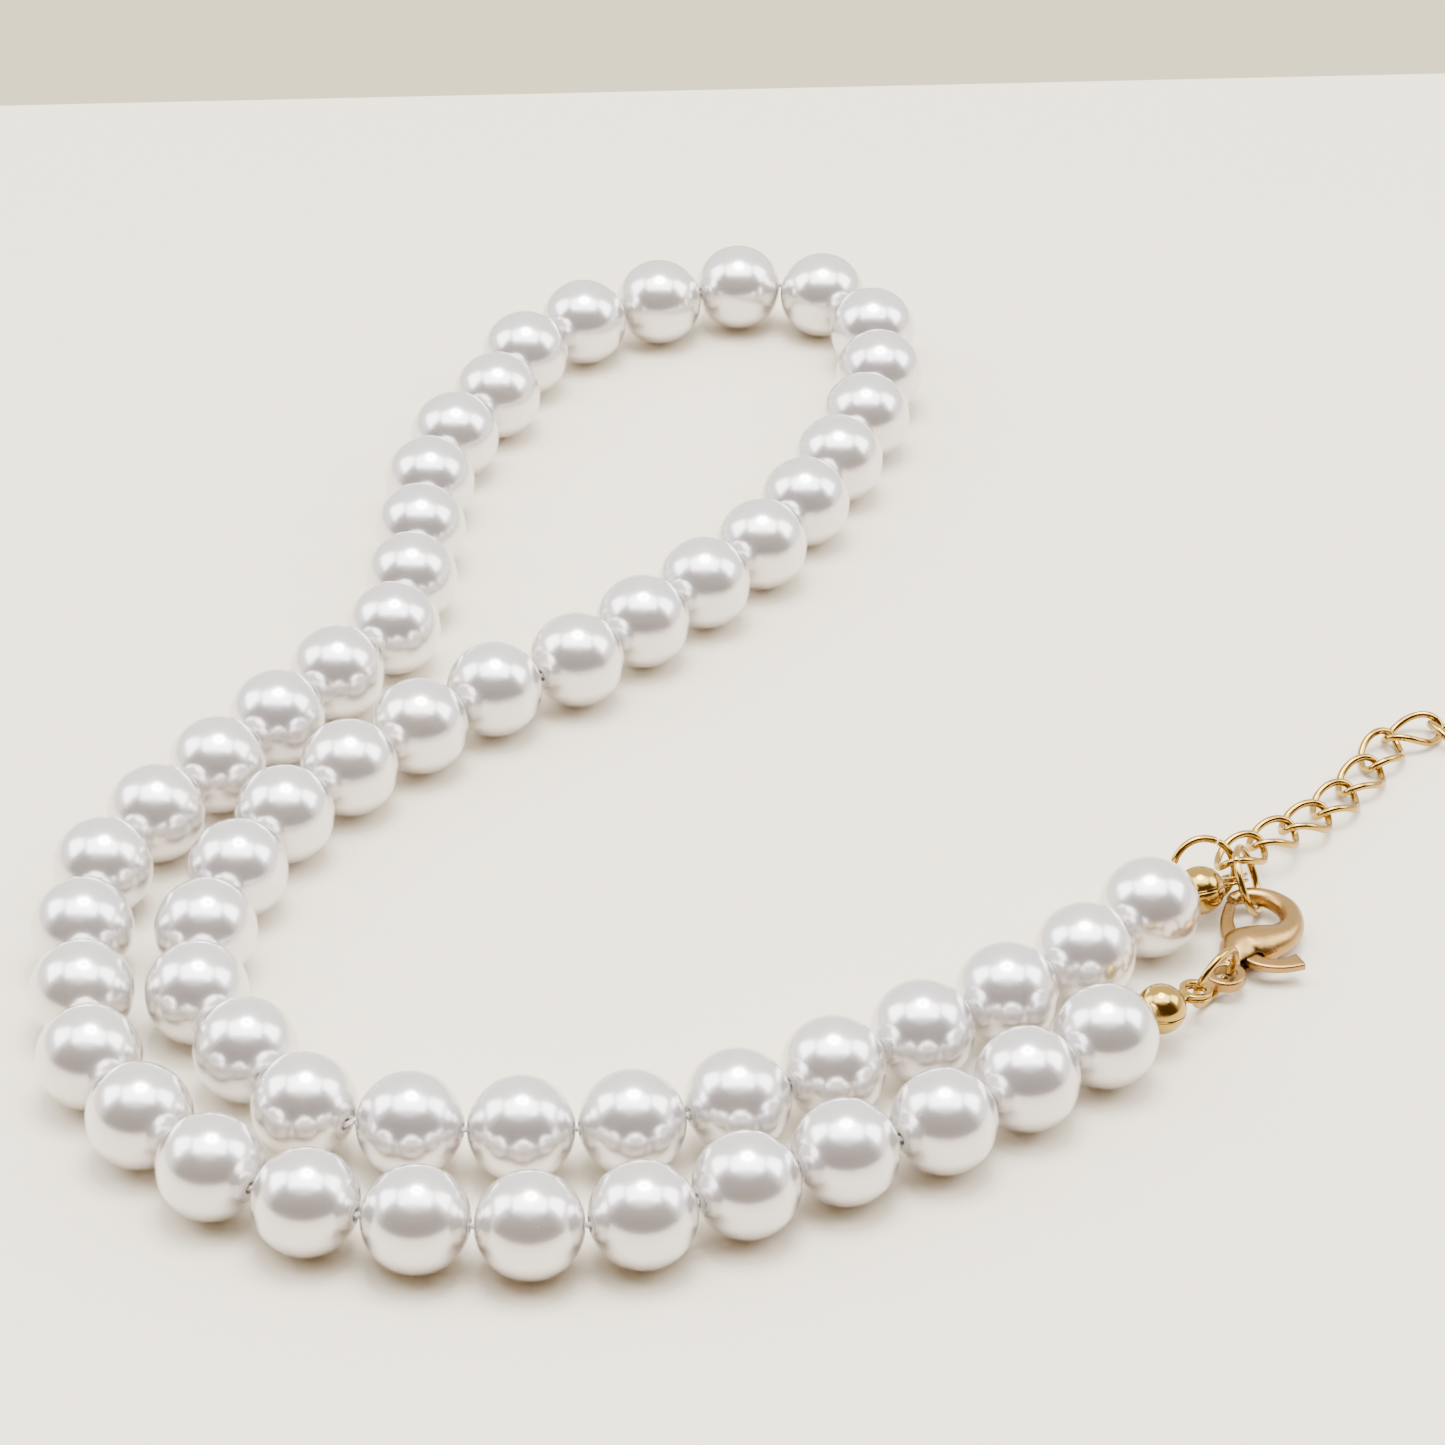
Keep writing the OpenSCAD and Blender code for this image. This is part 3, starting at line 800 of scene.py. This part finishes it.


# ---------------------------------------------------------------------------
# Lever: stamped from 0.7 mm sheet. Its long leaf shuts the hook's mouth, and the
# short arm behind the pin ends in a thumb tab.
# ---------------------------------------------------------------------------
LEVER_HALF = 0.35
LEVER_MIDDLE = 0.15
lever_line = [(x, y, w) for x, y, w in fine_line(LEVER_LINE, 5)
              if (Vector((x, y)) - Vector(PIVOT)).length < LEAF_REACH]
lever = swept("clasp_lever_leaf", lever_line, 20,
              lambda i, half_width: LEVER_HALF, 0.45)
lever.data.transform(clasp_place @ Matrix.Translation((0, 0, LEVER_MIDDLE)))
lever = plain_mesh(lever, satin_gold)
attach(lever, "lever")
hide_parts("clasp_lever")


# ---------------------------------------------------------------------------
# Pin and spring: bare steel. The spring is a turn of hard wire round the pin,
# hidden under the lever, which it presses shut.
# ---------------------------------------------------------------------------
steel_wire, bench = finish_called("steel_wire")
place = bench.node("ShaderNodeTexCoord", output="Object")
drawn = bench.noise(bench.node("ShaderNodeMapping", {}, {
    "Vector": place, "Scale": (1.0, 1.0, 12.0)}), 3000, 3.0)
lay_on(bench, bench.node("ShaderNodeBsdfPrincipled", {}, {
    "Base Color": bench.blend_colours(drawn, rgb(0.62, 0.61, 0.6), rgb(0.45, 0.44, 0.43)),
    "Metallic": 1.0,
    "Roughness": 0.28 + drawn * 0.15,
    "Normal": bench.node("ShaderNodeBump", {}, {
        "Height": drawn, "Strength": 0.4, "Distance": 0.00002}),
}))
pin = plain_mesh(pin, steel_wire)
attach(pin, "clasp")
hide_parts("clasp_pin")

points, thickness = [], []
for i in range(41):
    angle = math.radians(300 * i / 40)
    points.append(clasp_place @ Vector((PIVOT[0] + 0.7 * math.cos(angle),
                                        PIVOT[1] + 0.7 * math.sin(angle), -0.425)))
    thickness.append(0.125 / WIRE_RADIUS)
spring = bent_wire("clasp_spring_coil", points, thickness, False, 10, steel_wire)
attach(spring, "clasp")
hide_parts("clasp_spring")


# ---------------------------------------------------------------------------
# The studio: a plain pale table top, a small ring of light overhead in front of
# white screens above and at both sides, and a dark room in front.
# ---------------------------------------------------------------------------
def sheet_of(name, corners, material):
    """A flat stage piece through these corners, in metres."""
    mesh = bpy.data.meshes.new(name)
    mesh.from_pydata([tuple(c) for c in corners], [], [tuple(range(len(corners)))])
    mesh.materials.append(material)
    thing = bpy.data.objects.new(name, mesh)
    bpy.context.scene.collection.objects.link(thing)
    return thing


def glow(name, colour, strength):
    material, bench = finish_called(name)
    lay_on(bench, bench.node("ShaderNodeEmission", {}, {"Color": colour, "Strength": strength}))
    return material


table_top, bench = finish_called("table_top")
place = bench.node("ShaderNodeTexCoord", output="Object")
lay_on(bench, bench.node("ShaderNodeBsdfPrincipled", {}, {
    "Base Color": bench.blend_colours(bench.noise(place, 30), rgb(0.82, 0.74, 0.60),
                                      rgb(0.81, 0.73, 0.585)),
    "Roughness": 0.4,
    "Specular IOR Level": 0.4,
}))
# The table's back edge runs a little askew, farther away on the right
EDGE_LEFT = -0.115
EDGE_RIGHT = 0.357
sheet_of("floor", [(-3, -3, 0), (3, -3, 0), (3, EDGE_RIGHT, 0), (-3, EDGE_LEFT, 0)], table_top)

# Behind it a beige floor goes on a little lower
back_floor, bench = finish_called("back_floor")
place = bench.node("ShaderNodeTexCoord", output="Object")
lay_on(bench, bench.node("ShaderNodeBsdfPrincipled", {}, {
    "Base Color": bench.blend_colours(bench.noise(place, 9), rgb(0.40, 0.345, 0.235),
                                      rgb(0.385, 0.33, 0.22)),
    "Roughness": 0.8,
}))
sheet_of("floor_behind", [(-3, -0.2, -0.01), (3, -0.2, -0.01), (3, 4, -0.01), (-3, 4, -0.01)],
         back_floor)

# The ring light hangs flat overhead
RING_HEIGHT = 0.6
RING_BACK = 0.06
ring_light = bpy.data.meshes.new("ring_light")
around = 64
rim = [(math.cos(2 * math.pi * j / around), math.sin(2 * math.pi * j / around))
       for j in range(around)]
inner, outer = RING_HEIGHT * math.tan(math.radians(6)), RING_HEIGHT * math.tan(math.radians(11))
ring_light.from_pydata([(x * inner, y * inner + RING_BACK, RING_HEIGHT) for x, y in rim]
                       + [(x * outer, y * outer + RING_BACK, RING_HEIGHT) for x, y in rim], [],
                       [(j, around + j, around + (j + 1) % around, (j + 1) % around)
                        for j in range(around)])
ring_light.materials.append(glow("ring_glow", rgb(0.98, 0.985, 1.0), 48.0))
ring_light = bpy.data.objects.new("ring_light", ring_light)
bpy.context.scene.collection.objects.link(ring_light)

screen = glow("screen_glow", rgb(0.97, 0.98, 1.0), 9.5)
screens = [
    sheet_of("screen_left", [(-0.7, -0.12, 0.3), (-0.7, 0.35, 0.3), (-0.7, 0.35, 0.95),
                             (-0.7, -0.12, 0.95)], screen),
    sheet_of("screen_right", [(0.7, -0.12, 0.3), (0.7, 0.35, 0.3), (0.7, 0.35, 0.95),
                              (0.7, -0.12, 0.95)], screen),
]
screens.append(sheet_of("screen_above", [(-0.5, -0.34, 0.8), (-0.5, 0.16, 0.8), (0.5, 0.16, 0.8),
                                         (0.5, -0.34, 0.8)], screen))
for thing in screens + [ring_light]:
    thing.visible_camera = False
    thing.visible_shadow = False

room = bpy.data.worlds.new("room")
bpy.context.scene.world = room
room.use_nodes = True
bench = Bench(room.node_tree)
room.node_tree.nodes.clear()
way = bench.node("ShaderNodeTexCoord", output="Generated")
height = bench.node("ShaderNodeSeparateXYZ", {}, {0: way}, output=2)
depth = bench.node("ShaderNodeSeparateXYZ", {}, {0: way}, output=1)
front = bench.step(depth, 0.1, -0.4) * bench.step(height, 0.9, 0.78)
colour = bench.blend_colours(front, rgb(0.88, 0.855, 0.80), rgb(0.075, 0.04, 0.018))
colour = bench.blend_colours(bench.step(height, 0.02, -0.02), colour, rgb(0.72, 0.67, 0.56))
bench.node("ShaderNodeOutputWorld", {}, {"Surface": bench.node("ShaderNodeBackground", {}, {
    "Color": colour, "Strength": 2.05})})

camera = bpy.data.cameras.new("camera")
camera.lens, camera.sensor_width = 116.05, 36
camera.clip_start, camera.clip_end = 0.01, 20
camera = bpy.data.objects.new("camera", camera)
bpy.context.scene.collection.objects.link(camera)
camera.location = (-0.01313, -0.3239, 0.2188)
look = Vector((-0.01313, -0.00521, 0.004)) - camera.location
camera.rotation_mode = "QUATERNION"
camera.rotation_quaternion = (look.to_track_quat("-Z", "Y")
                              @ Euler((0, 0, math.radians(0.73))).to_quaternion())
bpy.context.scene.camera = camera
